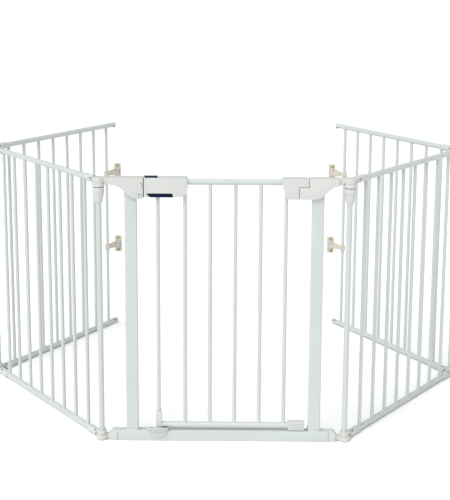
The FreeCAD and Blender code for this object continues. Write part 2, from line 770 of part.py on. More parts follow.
def collar():
    """Locking collar: a thimble that slides on the post below the knuckle."""
    inside = "post_radius + running_gap"
    mouth = "collar_radius - collar_lip"
    return turned([(inside, "collar_low_z"), ("collar_neck_radius", "collar_low_z"),
                   ("collar_foot_radius", "collar_low_z + collar_foot_height"),
                   ("collar_waist_radius", "collar_low_z + collar_waist_height"),
                   ("collar_shoulder_radius", "collar_low_z + collar_shoulder_height"),
                   ("collar_radius", "collar_low_z + collar_shoulder_height"),
                   ("collar_radius", "collar_high_z"), (mouth, "collar_high_z"),
                   (mouth, "collar_high_z - collar_mouth_depth"),
                   (inside, "collar_high_z - collar_mouth_depth")])


def build_side(side):
    """Both panels of one side, their corner post, connectors, collars and wall mounts."""
    sign = -1 if side == "left" else 1
    length = number(f"short_end + long_end + {BARS - 1} * bar_pitch")
    out = math.radians(number("front_turn"))
    into = out + math.radians(number("rear_turn"))
    post = (sign * number("post_half_span"), 0.0)
    corner = (post[0] + sign * length * math.cos(out), length * math.sin(out))
    front_angle = math.degrees(out) if side == "right" else 180 - math.degrees(out)
    rear_angle = math.degrees(into) if side == "right" else 180 - math.degrees(into)
    # every panel has its long connector at its left end as seen along the fence
    near, far = ("short_end", "long_end") if side == "left" else ("long_end", "short_end")
    front = (*post, front_angle)
    front_reversed = (*corner, front_angle + 180)
    rear = (*corner, rear_angle)

    build_panel(f"front_{side}", near, front)
    moved(node(f"front_{side}_gate_connectors", hung_connectors(near)), *front)
    moved(node(f"front_{side}_corner_connectors", host_connectors(far)), *front_reversed)
    moved(node(f"{side}_corner_post", hinge_post()), *corner)
    build_panel(f"rear_{side}", near, rear)
    moved(node(f"rear_{side}_corner_connectors", hung_connectors(near)), *rear)
    moved(node(f"{side}_gate_collar", collar()), *post)
    moved(node(f"{side}_corner_collar", collar()), *corner)

    last = number(f"{near} + {BARS - 1} * bar_pitch")
    bar = (corner[0] + last * math.cos(math.radians(rear_angle)),
           corner[1] + last * math.sin(math.radians(rear_angle)))
    build_wall_mounts(side, bar)


# ---------------------------------------------------------------- wall mounts
def build_wall_mounts(side, bar):
    """The upper and lower wall mounts of one side, on its last bar."""
    toward_middle = 1 if side == "left" else -1
    pivot_y = number("wall_y - mount_setback")
    rise = pivot_y - bar[1]
    run = toward_middle * math.sqrt(number("mount_reach") ** 2 - rise ** 2)
    arm_angle = math.degrees(math.atan2(rise, run))
    for level, z in (("upper", "mount_high_z"), ("lower", "mount_low_z")):
        name = f"{level}_{side}_mount"
        moved(node(f"{name}_arm", mount_arm(z)), *bar, arm_angle)
        moved(node(f"{name}_plate", mount_plate(z)), bar[0] + run, pivot_y)
        moved(node(f"{name}_screws", mount_screws(z)), bar[0] + run, pivot_y)


def mount_arm(z):
    """Clip ring round the bar, and the flared arm out to the plate's pin."""
    half = "arm_height / 2"
    clip = cylinder("clip_radius", "clip_height", ("0", "0", f"{z} - clip_height / 2"))
    web = prism([("0", f"{z} - {half}"), ("arm_flare_x", f"{z} - arm_flare_low"),
                 ("arm_flare_x", f"{z} + arm_flare_high"), ("0", f"{z} + {half}")], "arm_thickness")
    neck = block(("arm_flare_x - past", "-arm_thickness / 2", f"{z} - {half}"),
                 ("mount_reach", "arm_thickness / 2", f"{z} + {half}"))
    eye = cylinder("eye_radius", "arm_height", ("mount_reach", "0", f"{z} - {half}"))
    return cut(fuse(clip, web, neck, eye), bore("bar_radius + running_gap", "0", z),
               bore("mount_pin_radius + running_gap", "mount_reach", z))


def screw_heights(z):
    return (f"{z} + screw_spacing / 2", f"{z} - screw_spacing / 2")


def mount_plate(z):
    """Plate with two ears and the pin between them. The pin is at the origin, the wall at +Y."""
    half = "plate_width / 2"
    tall = "plate_height / 2"
    plate = prism([(f"-{half}", f"{z} - {tall}"), (half, f"{z} - {tall}"),
                   (half, f"{z} + {tall}"), (f"-{half}", f"{z} + {tall}")],
                  "plate_thickness", [("plate_round", [0, 1, 2, 3])])
    place(plate, ("0", "mount_setback - plate_thickness / 2", "0"))
    ears = []
    for low in (f"{z} + arm_height / 2 + ear_gap", f"{z} - arm_height / 2 - ear_gap - ear_height"):
        ears.append(cylinder("eye_radius", "ear_height", ("0", "0", low)))
        ears.append(block(("-eye_radius", "0", low),
                          ("eye_radius", "mount_setback - past", f"{low} + ear_height")))
    tall_pin = "arm_height + 2 * ear_gap + 2 * ear_height"
    pin = cylinder("mount_pin_radius", tall_pin, ("0", "0", f"{z} - ({tall_pin}) / 2"))
    holes = [cylinder("screw_shank_radius", "mount_setback", ("0", "past", height), "Y")
             for height in screw_heights(z)]
    return cut(fuse(plate, *ears, pin), *holes)


def mount_screws(z):
    """Two wood screws: head on the plate, shank through it, thread and point in the wall."""
    front = "mount_setback - plate_thickness"
    straight = "screw_reach - screw_point"
    screws = []
    for height in screw_heights(z):
        head = cylinder("screw_head_radius", "screw_head_height",
                        ("0", f"{front} - screw_head_height", height), "Y")
        shank = cylinder("screw_shank_radius", "plate_thickness", ("0", front, height), "Y")
        thread = cylinder("screw_radius", straight, ("0", "mount_setback", height), "Y")
        point = bind(doc.addObject("Part::Cone", "point"), Radius1="screw_radius", Radius2="0",
                     Height="screw_point")
        place(point, ("0", f"mount_setback + {straight}", height), "Y")
        screws.append(fuse(head, shank, thread, point))
    return group(*screws)


# ---------------------------------------------------------------- build and write
build_frame()
build_latch_housing()
build_hinge_housing()
build_beam_caps()
build_striker()
build_lower_bracket()
node("upper_hinge_pin", cylinder("upper_pin_radius", "upper_pin_high_z - upper_pin_low_z",
                                 ("door_axis_x", "0", "upper_pin_low_z")))
build_door_frame()
build_handle()
build_hinge_cover()
build_hinge_sleeve()
build_door_foot()
build_thumb_slide()
build_squeeze_lever()
build_latch_bolt()
build_lever_spring()
for side_name in ("left", "right"):
    build_side(side_name)
doc.recompute()

for item in doc.Objects:
    if {"Invalid", "Error"} & set(item.State):
        raise SystemExit(f"{item.Name} ({item.Label}) failed: {item.State}")
os.makedirs("parts", exist_ok=True)
for label, item in NODES.items():
    if item.Shape.isNull() or not item.Shape.isValid() or not item.Shape.Solids:
        raise SystemExit(f"{label} has a bad shape")
    item.Shape.exportStep(f"parts/{label}.step")
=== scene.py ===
"""Looks of a pet gate in five sections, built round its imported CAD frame. Metres, +Z up."""
import json
import math

import bmesh
import bpy
from mathutils import Matrix, Vector


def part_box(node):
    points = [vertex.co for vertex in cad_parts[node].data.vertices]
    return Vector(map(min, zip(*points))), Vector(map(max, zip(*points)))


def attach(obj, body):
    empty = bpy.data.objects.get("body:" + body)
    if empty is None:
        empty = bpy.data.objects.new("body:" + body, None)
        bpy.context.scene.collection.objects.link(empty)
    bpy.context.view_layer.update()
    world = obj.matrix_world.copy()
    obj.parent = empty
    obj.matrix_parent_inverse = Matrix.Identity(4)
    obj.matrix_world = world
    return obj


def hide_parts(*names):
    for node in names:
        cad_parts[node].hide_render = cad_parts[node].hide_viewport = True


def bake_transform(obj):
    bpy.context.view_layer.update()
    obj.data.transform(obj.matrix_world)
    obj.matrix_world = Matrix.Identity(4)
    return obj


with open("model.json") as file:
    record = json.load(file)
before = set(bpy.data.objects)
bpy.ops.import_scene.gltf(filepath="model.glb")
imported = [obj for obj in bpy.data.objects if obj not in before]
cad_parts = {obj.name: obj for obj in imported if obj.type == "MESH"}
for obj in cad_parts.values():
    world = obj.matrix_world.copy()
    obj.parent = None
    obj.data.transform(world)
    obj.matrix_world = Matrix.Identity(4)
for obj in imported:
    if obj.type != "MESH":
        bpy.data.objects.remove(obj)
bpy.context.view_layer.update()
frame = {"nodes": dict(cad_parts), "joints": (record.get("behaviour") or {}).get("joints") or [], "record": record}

NODES = frame["nodes"]
JOINTS = {joint["name"]: joint for joint in frame["joints"]}
SIDES = ("left", "right")
LEVELS = ("upper", "lower")
MM = 0.001

# the photograph's viewpoint
CAMERA_PLACE = (0.0177, -2.8159, 1.3017)
CAMERA_TILT = math.radians(9.95)      # down from level
CAMERA_YAW = math.radians(-0.33)
CAMERA_ROLL = 0.0052
CAMERA_LENS = 78.5                    # on a 36 mm long side
CAMERA_SHIFT = -0.2

# sizes that the frame doesn't state directly
BAR_RADIUS = 5 * MM
RAIL_RADIUS = 8 * MM
SLEEVE_RADIUS = 10.3 * MM             # of a connector, round a rail's end
WELD_SIZE = 1.5 * MM
BARS = 8                              # in each side panel
BAR_PITCH = 67.3 * MM
SHORT_END = 71 * MM                   # from a panel's hinge to its nearest bar, at one end
LONG_END = 78 * MM                    # and at the other
RAIL_OVERHANG = 45 * MM               # from a panel's outer bar to the rail's end beside it
DOOR_HINGE_BAR = 164.5 * MM           # the door's bar under its hinge cover
DOOR_BAR_PITCH = 67.0 * MM
DOOR_WELDED_BARS = 5                  # the sixth bar's ends are inside the handle and the foot
HINGE_STEP_HEIGHT = 711.5 * MM
SCREW_REACH = 24.0                    # of a wall screw past the wall face, in mm
SCREW_HALF_SPACING = 23 * MM
SMOOTH_BELOW = math.radians(32)       # edges flatter than this are shaded smooth
SHARP_ABOVE = math.radians(33)        # edges sharper than this are rounded


# ---------------------------------------------------------------- materials
def new_material(name):
    material = bpy.data.materials.new(name)
    material.use_nodes = True
    tree = material.node_tree
    shader = tree.nodes["Principled BSDF"]
    return material, tree, shader


def add_node(tree, kind, **inputs):
    node = tree.nodes.new(kind)
    for key, value in inputs.items():
        node.inputs[key.replace("_", " ")].default_value = value
    return node


def noise(tree, scale, detail=3.0):
    coords = tree.nodes.new("ShaderNodeTexCoord")
    texture = add_node(tree, "ShaderNodeTexNoise", Scale=scale, Detail=detail, Roughness=0.5)
    tree.links.new(coords.outputs["Object"], texture.inputs["Vector"])
    return texture.outputs["Fac"]


def ramp(tree, source, low, high):
    """Colour from low to high over the middle of the source's range."""
    node = tree.nodes.new("ShaderNodeValToRGB")
    first, last = node.color_ramp.elements
    first.position, last.position = 0.3, 0.7
    first.color = (*low, 1)
    last.color = (*high, 1)
    tree.links.new(source, node.inputs["Fac"])
    return node.outputs["Color"]


def span(tree, source, low, high):
    """The source's 0 to 1 as a value from low to high."""
    node = add_node(tree, "ShaderNodeMapRange")
    node.inputs["To Min"].default_value = low
    node.inputs["To Max"].default_value = high
    tree.links.new(source, node.inputs["Value"])
    return node.outputs["Result"]


def bump(tree, shader, height, strength, distance):
    node = add_node(tree, "ShaderNodeBump", Strength=strength, Distance=distance)
    tree.links.new(height, node.inputs["Height"])
    tree.links.new(node.outputs["Normal"], shader.inputs["Normal"])


def coated(name, color, spread, roughness, grain, strength, distance, cloud=9.0):
    """A moulded or powder-coated surface: clouded colour, uneven gloss and a fine grain."""
    material, tree, shader = new_material(name)
    low = tuple(channel * (1 - spread) for channel in color)
    high = tuple(min(1, channel * (1 + spread)) for channel in color)
    tree.links.new(ramp(tree, noise(tree, cloud, 5.0), low, high), shader.inputs["Base Color"])
    tree.links.new(span(tree, noise(tree, 60.0, 4.0), *roughness), shader.inputs["Roughness"])
    bump(tree, shader, noise(tree, grain, 2.0), strength, distance)
    return material


def metal(name, color, roughness):
    material = coated(name, color, spread=0.06, roughness=roughness, grain=900.0, strength=0.25,
                      distance=0.0002, cloud=40.0)
    shader_of(material).inputs["Metallic"].default_value = 1.0
    return material


def moulded(name, color, spread, roughness, strength=0.10, cloud=30.0):
    """A moulded plastic: a coated surface with a fine, shallow grain."""
    return coated(name, color, spread, roughness, grain=1500.0, strength=strength, distance=0.0002,
                  cloud=cloud)


def shader_of(material):
    return material.node_tree.nodes["Principled BSDF"]


def let_light_in(material):
    """A little light scatters below a pale plastic's surface."""
    shader = shader_of(material)
    shader.inputs["Subsurface Weight"].default_value = 0.06
    shader.inputs["Subsurface Radius"].default_value = (0.002, 0.0016, 0.0012)
    shader.inputs["Subsurface Scale"].default_value = 1.0


def powder_coat():
    return coated("powder_coat", (0.50, 0.542, 0.530), spread=0.02, roughness=(0.30, 0.44), grain=700.0,
                  strength=0.12, distance=0.0004)


def white_plastic():
    material = moulded("white_plastic", (0.54, 0.556, 0.533), 0.02, (0.38, 0.52), cloud=9.0)
    let_light_in(material)
    return material


def ivory_plastic():
    material = moulded("ivory_plastic", (0.53, 0.50, 0.43), 0.05, (0.40, 0.55), strength=0.15)
    let_light_in(material)
    return material


def navy_plastic():
    material = moulded("navy_plastic", (0.0025, 0.0045, 0.036), 0.20, (0.42, 0.55))
    shader_of(material).inputs["Specular IOR Level"].default_value = 0.12
    return material


def grey_plastic():
    return moulded("grey_plastic", (0.26, 0.27, 0.28), 0.08, (0.35, 0.5))


def zinc_steel():
    return metal("zinc_steel", (0.42, 0.43, 0.44), (0.28, 0.45))


def spring_steel():
    return metal("spring_steel", (0.35, 0.35, 0.36), (0.2, 0.35))


def brass():
    return metal("brass", (0.52, 0.38, 0.14), (0.25, 0.42))


def painted_shade():
    """Painted shade: the near black put in gaps, seams and holes, where they lie in shade."""
    return coated("painted_shade", (0.025, 0.028, 0.03), spread=0.2, roughness=(0.6, 0.8), grain=900.0,
                  strength=0.1, distance=0.0002, cloud=40.0)


MATERIALS = {make.__name__: make() for make in (
    powder_coat, white_plastic, ivory_plastic, navy_plastic, grey_plastic, zinc_steel, spring_steel,
    brass, painted_shade)}
SLOT_OF = {entry["node"]: entry["material_slot"] for entry in frame["record"]["subparts"]}
BODIES = frame["record"]["behaviour"]["bodies"]
BODY_OF = {node: body for body, nodes in BODIES.items() for node in nodes}


def paint_cad_nodes():
    for name, obj in NODES.items():
        obj.data.materials.clear()
        obj.data.materials.append(MATERIALS[SLOT_OF[name]])


# ---------------------------------------------------------------- mesh helpers
def finish_piece(name, bm, slot, body, replaces=()):
    """Make an object of a bmesh, shade it, and fix it to its body, if it has just one."""
    bmesh.ops.recalc_face_normals(bm, faces=bm.faces)
    for edge in bm.edges:
        edge.smooth = not edge.is_manifold or edge.calc_face_angle(0) < SMOOTH_BELOW
    for face in bm.faces:
        face.smooth = True
    mesh = bpy.data.meshes.new(name)
    bm.to_mesh(mesh)
    bm.free()
    mesh.materials.append(MATERIALS[slot])
    obj = bpy.data.objects.new(name, mesh)
    bpy.context.scene.collection.objects.link(obj)
    if body:
        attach(obj, body)
    if replaces:
        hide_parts(*replaces)
    return obj


def softened(node, width):
    """The CAD node's own shape with every sharp edge rounded, as a moulding's edges are."""
    bm = bmesh.new()
    bm.from_mesh(NODES[node].data)
    bmesh.ops.remove_doubles(bm, verts=bm.verts, dist=1e-6)
    bmesh.ops.dissolve_limit(bm, angle_limit=math.radians(0.6), verts=bm.verts, edges=bm.edges)
    edges = [e for e in bm.edges if e.is_manifold and e.calc_face_angle(0) > SHARP_ABOVE]
    bmesh.ops.bevel(bm, geom=edges, offset=width, segments=3, profile=0.5, affect="EDGES",
                    clamp_overlap=True)
    finish_piece(f"{node}_shell", bm, SLOT_OF[node], BODY_OF[node], (node,))


def ring_loft(bm, rings, closed=False):
    """Join rings of points, each a list of the same length, into a skin. Returns their vertices."""
    made = [[bm.verts.new(p) for p in ring] for ring in rings]
    count = len(made[0])
    pairs = list(zip(made, made[1:]))
    if closed:
        pairs.append((made[-1], made[0]))
    for first, second in pairs:
        for i in range(count):
            j = (i + 1) % count
            bm.faces.new((first[i], first[j], second[j], second[i]))
    return made


def turned_skin(bm, profile, centre, segments, ripple):
    """Turn (radius, height) points about a vertical axis. ripple changes the radius round it."""
    rings = []
    for radius, height in profile:
        ring = []
        for i in range(segments):
            angle = 2 * math.pi * i / segments
            r = radius + ripple(angle, height)
            ring.append(Vector((centre[0] + r * math.cos(angle), centre[1] + r * math.sin(angle),
                                height)))
        rings.append(ring)
    ring_loft(bm, rings, closed=True)


def rounded_tube(name, node, corner, along, body):
    """A rectangular steel tube with rounded corners and open, walled ends."""
    low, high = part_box(node)
    wall = 1.5 * MM
    bm = bmesh.new()
    axes = [i for i in range(3) if i != along]

    def ring(inset, position):
        a0, a1 = low[axes[0]] + inset, high[axes[0]] - inset
        b0, b1 = low[axes[1]] + inset, high[axes[1]] - inset
        r = corner - inset
        points = []
        middles = ((a1 - r, b1 - r), (a0 + r, b1 - r), (a0 + r, b0 + r), (a1 - r, b0 + r))
        for quarter, (ca, cb) in enumerate(middles):
            for step in range(7):
                angle = math.radians(90 * quarter + 15 * step)
                point = Vector((0, 0, 0))
                point[axes[0]] = ca + r * math.cos(angle)
                point[axes[1]] = cb + r * math.sin(angle)
                point[along] = position
                points.append(point)
        return points

    start, end = low[along], high[along]
    ring_loft(bm, [ring(0, start), ring(0, end), ring(wall, end), ring(wall, start)], closed=True)
    finish_piece(name, bm, "powder_coat", body, (node,))


# ---------------------------------------------------------------- pieces
def locking_collar(node, body):
    """Thimble that locks a hinge: a plain band round its mouth and a fluted cone below."""
    low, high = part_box(node)
    centre = (low + high) / 2
    bore = 7.6
    cone = [(bore, 0), (8.6, 0), (9.4, 0.5), (9.9, 1.6), (11.2, 6), (12.2, 10), (13.1, 15),
            (13.9, 20.5), (14.5, 26.4), (14.6, 27.2)]
    band = [(14.3, 27.6), (14.3, 28.1), (15.2, 28.3), (15.55, 28.9), (15.6, 30), (15.6, 40.4),
            (15.3, 41.6), (14.7, 42.2)]
    mouth = [(12.9, 42.2), (12.6, 41.6), (12.6, 37.4), (bore, 37.2)]
    flutes = 18
    flute_depth = 0.6 * MM
    flute_reach = 27 * MM
    first, last = 0.08, 0.97
    bm = bmesh.new()
    profile = subdivided([(r * MM, low.z + z * MM) for r, z in cone + band + mouth], 1.5 * MM)

    def flute(angle, height):
        share = (height - low.z) / flute_reach
        if not first < share < last:
            return 0.0
        depth = flute_depth * math.sin(math.pi * (share - first) / (last - first))
        return -depth * (0.5 + 0.5 * math.cos(flutes * angle)) ** 3

    turned_skin(bm, profile, centre, 144, flute)
    finish_piece(f"{node}_thimble", bm, "white_plastic", body, (node,))


def subdivided(profile, longest):
    """The same profile with its long steps broken into short ones."""
    fine = []
    for (r0, z0), (r1, z1) in zip(profile, profile[1:]):
        steps = max(1, math.ceil(abs(z1 - z0) / longest))
        fine += [(r0 + (r1 - r0) * s / steps, z0 + (z1 - z0) * s / steps) for s in range(steps)]
    return fine + [profile[-1]]


def weld_bead(bm, centre, rail_axis, upward):
    """Fillet of weld round a bar where it meets the round rail below or above it."""
    side = Vector((-rail_axis.y, rail_axis.x, 0))
    sunk = 0.1 * MM
    widest = RAIL_RADIUS * 0.98
    rings = []
    for share in range(5):
        turn = math.pi / 2 * share / 4
        out = BAR_RADIUS + WELD_SIZE * (1 - math.sin(turn)) - sunk
        lift = WELD_SIZE * (1 - math.cos(turn)) - sunk
        ring = []
        for i in range(28):
            angle = 2 * math.pi * i / 28
            wobble = (1 + 0.10 * math.sin(5 * angle + centre.x * 900)
                      + 0.06 * math.sin(11 * angle + centre.y * 700))
            reach = BAR_RADIUS + (out - BAR_RADIUS) * wobble
            u = reach * math.cos(angle)
            v = max(-widest, min(widest, reach * math.sin(angle)))
            surface = math.sqrt(RAIL_RADIUS ** 2 - v ** 2)
            rise = Vector((0, 0, upward * (surface + lift * wobble)))
            ring.append(centre + rail_axis * u + side * v + rise)
        rings.append(ring)
    ring_loft(bm, rings)


def panel_axis(row, side):
    """A panel's hinge point and the level direction that it runs in."""
    post = Vector(JOINTS[f"front_{side}_hinge"]["pos_m"])
    corner = Vector(JOINTS[f"rear_{side}_hinge"]["pos_m"])
    if row == "front":
        return post, (corner - post).normalized()
    last_bar = Vector(JOINTS[f"upper_{side}_clip_turn"]["pos_m"])
    return corner, (last_bar - corner).normalized()


def rail_height(node):
    low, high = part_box(node)
    return (low.z + high.z) / 2


def panel_welds(row, side):
    """Beads at both ends of every bar of a side panel."""
    start, way = panel_axis(row, side)
    first = SHORT_END if side == "left" else LONG_END
    bm = bmesh.new()
    for i in range(BARS):
        spot = start + way * (first + i * BAR_PITCH)
        for level, upward in (("bottom", 1), ("top", -1)):
            spot.z = rail_height(f"{row}_{side}_{level}_rail")
            weld_bead(bm, spot.copy(), way, upward)
    finish_piece(f"{row}_{side}_welds", bm, "powder_coat", f"{row}_{side}_panel")


def door_welds():
    """Beads on the door's bars, but not at the top of the one that ends in the hinge cover."""
    bm = bmesh.new()
    way = Vector((1, 0, 0))
    for i in range(DOOR_WELDED_BARS):
        for node, upward in (("door_bottom_rail", 1), ("door_top_rail", -1)):
            if i == 0 and upward < 0:
                continue
            spot = Vector((DOOR_HINGE_BAR - i * DOOR_BAR_PITCH, 0, rail_height(node)))
            weld_bead(bm, spot, way, upward)
    finish_piece("door_welds", bm, "powder_coat", "door")


def snap_button(name, body, centre, normal, along):
    """Spring button of a plug-in connector, at one end of its oval slot; the slot is a dark piece, painted shade
    of the slot's inside.
    """
    normal = normal.normalized()
    along = (along - normal * along.dot(normal)).normalized()
    across = normal.cross(along)
    rim, floor = (4.2 * MM, 2.4 * MM), (3.9 * MM, 2.1 * MM)
    bm = bmesh.new()

    def oval(size, lift):
        length, width = size
        return [centre + along * length * math.cos(a) + across * width * math.sin(a) + normal * lift
                for a in (2 * math.pi * i / 32 for i in range(32))]

    ring_loft(bm, [oval(rim, -1.5 * MM), oval(rim, 0.05 * MM), oval(floor, 0.12 * MM)])
    bm.faces.new([bm.verts.new(p) for p in oval(floor, 0.12 * MM)])
    bmesh.ops.remove_doubles(bm, verts=bm.verts, dist=1e-7)
    finish_piece(f"{name}_slot", bm, "painted_shade", body)
    bm = bmesh.new()
    middle = centre + along * 1.9 * MM
    radius, height = 1.4, 0.7
    rings = []
    for share in range(6):
        turn = math.pi / 2 * share / 5
        narrowing = max(0.02, math.cos(turn))
        rings.append([middle + (along * math.cos(a) + across * math.sin(a)) * radius * MM * narrowing
                      + normal * height * MM * math.sin(turn)
                      for a in (2 * math.pi * i / 24 for i in range(24))])
    ring_loft(bm, rings)
    finish_piece(f"{name}_button", bm, "white_plastic", body)


def connector_buttons():
    """One snap button on every connector sleeve, on the side that faces the gate's front."""
    for side in SIDES:
        near = SHORT_END if side == "left" else LONG_END
        far = LONG_END if side == "left" else SHORT_END
        corner = Vector(JOINTS[f"rear_{side}_hinge"]["pos_m"])
        for row in ("front", "rear"):
            start, way = panel_axis(row, side)
            ends = [("near", start + way * (near - RAIL_OVERHANG))]
            if row == "front":
                ends.append(("far", corner - way * (far - RAIL_OVERHANG)))
            for end, spot in ends:
                for level, rise in (("top", 0.25), ("bottom", 1.3)):
                    normal = (facing_front(way) + Vector((0, 0, rise))).normalized()
                    spot.z = rail_height(f"{row}_{side}_{level}_rail")
                    snap_button(f"{row}_{side}_{level}_{end}", f"{row}_{side}_panel",
                                spot + normal * SLEEVE_RADIUS, normal, way)


def facing_front(way):
    """Level normal of a panel, on the side towards -Y."""
    normal = Vector((way.y, -way.x, 0))
    return normal if normal.y < 0 else -normal


def dark_strip(name, body, low, high):
    """A narrow dark bar with rounded edges: painted shade lining a gap, a seam or a hole."""
    bm = bmesh.new()
    bmesh.ops.create_cube(bm, size=1.0)
    centre = (Vector(low) + Vector(high)) / 2
    for vert in bm.verts:
        vert.co = Vector(((high[i] - low[i]) * vert.co[i] + centre[i]) for i in range(3))
    thin = min(high[i] - low[i] for i in range(3))
    bmesh.ops.bevel(bm, geom=list(bm.edges), offset=0.3 * thin, segments=2, profile=0.5, affect="EDGES")
    finish_piece(name, bm, "painted_shade", body)


def latch_gap():
    """Painted shade: a dark strip in the gap between the handle and the latch housing, and dark cords in two seams
    of the catch beside it.
    """
    housing_low, housing_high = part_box("latch_housing")
    handle_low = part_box("handle_front_shell")[0]
    face = housing_high.x
    front = housing_low.y
    dark_strip("latch_gap_strip", "gate_frame", (face, -15.5 * MM, housing_low.z + 3 * MM),
               (handle_low.x - 0.5 * MM, -8.5 * MM, housing_high.z - 1.5 * MM))
    hook = [(-11.7, 1.5), (-11.7, 13.3), (-7.6, 13.3), (-4.2, 7.0), (-2.4, 12.5)]
    tick = [(-8.5, 42.6), (-4.0, 42.0), (-2.4, 36), (-2.4, 29)]
    for name, path in (("hook", hook), ("tick", tick)):
        points = [Vector((face + x * MM, front, housing_low.z + z * MM)) for x, z in path]
        groove(f"latch_{name}_seam", "gate_frame", points, 1.2 * MM)


def groove(name, body, points, radius):
    """Painted shade of a groove: a dark line along points on a front face, a flat cord nearly all of it under the
    surface.
    """
    inward = Vector((0, 1, 0))
    depth, half_thickness = 0.24, 0.30
    bm = bmesh.new()
    rings = []
    for i, point in enumerate(points):
        before = points[max(0, i - 1)]
        after = points[min(len(points) - 1, i + 1)]
        way = (after - before).normalized()
        across = way.cross(inward).normalized()
        rings.append([point + across * radius * math.cos(a)
                      + inward * (depth + half_thickness * math.sin(a)) * MM
                      for a in (2 * math.pi * k / 10 for k in range(10))])
    made = ring_loft(bm, rings)
    bm.faces.new(made[0])
    bm.faces.new(made[-1])
    finish_piece(name, bm, "painted_shade", body)


def hinge_gap():
    """Painted shade: dark strips in the stepped gap between the door's hinge cover and the hinge housing."""
    cover_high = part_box("door_hinge_cover")[1]
    housing_low, housing_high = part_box("hinge_housing")
    step = HINGE_STEP_HEIGHT
    seam = 0.7 * MM
    front, back = -15.5 * MM, -9.5 * MM
    dark_strip("hinge_gap_low", "gate_frame", (housing_low.x - 0.9 * MM, front, housing_low.z + 2 * MM),
               (housing_low.x + 0.1 * MM, back, step - seam))
    dark_strip("hinge_gap_step", "gate_frame", (housing_low.x, front, step - seam - 0.1 * MM),
               (housing_low.x + 7 * MM, back, step + 0.3 * MM))
    dark_strip("hinge_gap_high", "gate_frame", (cover_high.x + 0.4 * MM, front, step),
               (cover_high.x + 1.5 * MM, back, housing_high.z - 2 * MM))


def collar_teeth(node):
    """Dark toothed ring in the collar's mouth, under the hinge ring: painted shade of the open mouth."""
    low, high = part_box(node)
    centre = (low + high) / 2
    radius = (high.x - low.x) / 2
    inner, outer = radius * 0.82, radius * 0.945
    points = 96                       # four to a tooth
    bm = bmesh.new()
    rings = []
    for r, raised in ((inner, False), (inner, True), (outer, True), (outer, False)):
        ring = []
        for i in range(points):
            angle = 2 * math.pi * i / points
            tooth = 1.3 * MM if i % 4 < 2 else 0.8 * MM
            lift = tooth if raised else -1.5 * MM
            ring.append(Vector((centre.x + r * math.cos(angle), centre.y + r * math.sin(angle),
                                high.z + lift)))
        rings.append(ring)
    ring_loft(bm, rings, closed=True)
    finish_piece(f"{node}_teeth", bm, "painted_shade", node)


def foot_weld(side):
    """Fillet of weld round an upright's foot on the beam."""
    low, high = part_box(f"{side}_upright")
    size, sunk = 2.4 * MM, 0.1 * MM
    count = 72
    bm = bmesh.new()
    rings = []
    for share in range(5):
        turn = math.pi / 2 * share / 4
        out = size * (1 - math.sin(turn))
        lift = size * (1 - math.cos(turn)) - sunk
        ring = []
        for i in range(count):
            angle = 2 * math.pi * i / count
            wobble = 1 + 0.12 * math.sin(9 * angle + low.x * 50) + 0.08 * math.sin(17 * angle)
            x, y = rounded_rectangle(angle, (high.x - low.x) / 2, (high.y - low.y) / 2, 3 * MM)
            grow = Vector((math.cos(angle), math.sin(angle)))
            ring.append(Vector(((low.x + high.x) / 2 + x + grow.x * (out * wobble - sunk),
                                y + grow.y * (out * wobble - sunk), low.z + lift * wobble)))
        rings.append(ring)
    ring_loft(bm, rings)
    finish_piece(f"{side}_foot_weld", bm, "powder_coat", "gate_frame")


def rounded_rectangle(angle, half_x, half_y, corner):
    """The point of a rounded rectangle's edge in a direction from its middle."""
    power = 2 * max(half_x, half_y) / corner
    c, s = abs(math.cos(angle)) / half_x, abs(math.sin(angle)) / half_y
    reach = (c ** power + s ** power) ** (-1 / power)
    return reach * math.cos(angle), reach * math.sin(angle)


def dimple(name, body, centre, normal, radius):
    """Small hole with a rolled rim, sunk in a surface, all dark: painted shade of the hole."""
    along = normal.orthogonal().normalized()
    across = normal.cross(along)
    bm = bmesh.new()
    rings = []
    for share, lift in ((1.0, -0.45), (0.97, 0.08), (0.84, 0.14), (0.78, -0.1), (0.75, -0.9)):
        rings.append([centre + normal * lift * MM
                      + (along * math.cos(a) + across * math.sin(a)) * radius * share
                      for a in (2 * math.pi * k / 28 for k in range(28))])
    made = ring_loft(bm, rings)
    bm.faces.new(made[-1])
    finish_piece(name, bm, "painted_shade", body)


def free_end_buttons(side):
    """Spring buttons standing out of the snap holes at the rear panel's free rail ends, painted dark as the shade
    of the holes.
    """
    start, way = panel_axis("rear", side)
    near = SHORT_END if side == "left" else LONG_END
    end = near + (BARS - 1) * BAR_PITCH + RAIL_OVERHANG
    profile = ((2.2, -3.0), (2.2, 2.6), (2.05, 3.4), (1.6, 4.0), (0.8, 4.4), (0.02, 4.5))
    for level, upward, inset in (("top", -1, 9 * MM), ("bottom", 1, 18 * MM)):
        spot = start + way * (end - inset)
        spot.z = rail_height(f"rear_{side}_{level}_rail")
        normal = (facing_front(way) + Vector((0, 0, upward))).normalized()
        across = normal.cross(way)
        bm = bmesh.new()
        rings = []
        for radius, lift in profile:
            centre = spot + normal * (RAIL_RADIUS + lift * MM)
            rings.append([centre + (way * math.cos(a) + across * math.sin(a)) * radius * MM
                          for a in (2 * math.pi * k / 24 for k in range(24))])
        ring_loft(bm, rings)
        finish_piece(f"rear_{side}_{level}_spring_button", bm, "painted_shade", f"rear_{side}_panel")


